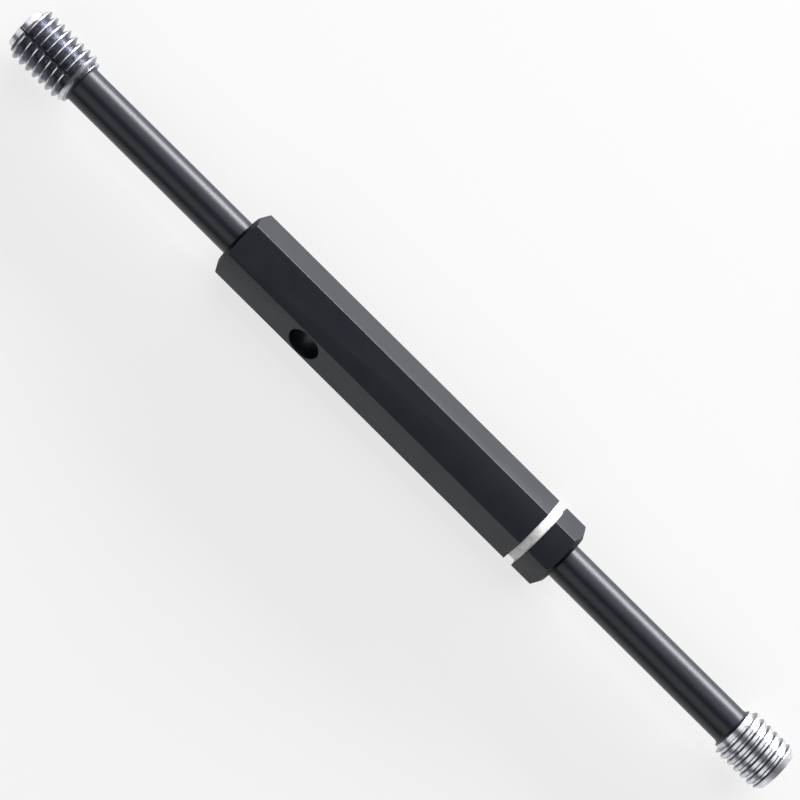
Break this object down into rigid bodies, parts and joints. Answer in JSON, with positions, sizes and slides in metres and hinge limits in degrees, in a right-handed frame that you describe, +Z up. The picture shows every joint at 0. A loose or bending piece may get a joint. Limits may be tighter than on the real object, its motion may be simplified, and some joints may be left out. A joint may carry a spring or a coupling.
{
  "type": "thread plug gauge",
  "caption": "Double-ended limit gauge for an internal thread: a hexagonal handle with a threaded GO plug on a slender shank at one end, a shorter NO-GO plug at the other, and a white band.",
  "frame": {"origin": "on the surface that the gauge lies on, under the middle of its overall length", "axes": "+X along the gauge's axis towards the NO-GO end, +Z up, square to the flat of the handle that it lies on, +Y level across the handle"},
  "size_m": [0.1762, 0.0134, 0.0116],
  "materials": {
    "black_handle": "black anodised drawn bar, satin",
    "white_enamel": "white enamel filled into a turned groove",
    "go_steel": "ground and lapped gauge steel on the plug, black oxide on the shank",
    "no_go_steel": "ground and lapped gauge steel on the plug, black oxide on the shank"
  },
  "bodies": {
    "root": {"handle": "black_handle", "marker_ring": "white_enamel", "go_gauge": "go_steel", "no_go_gauge": "no_go_steel"}
  },
  "joints": []
}
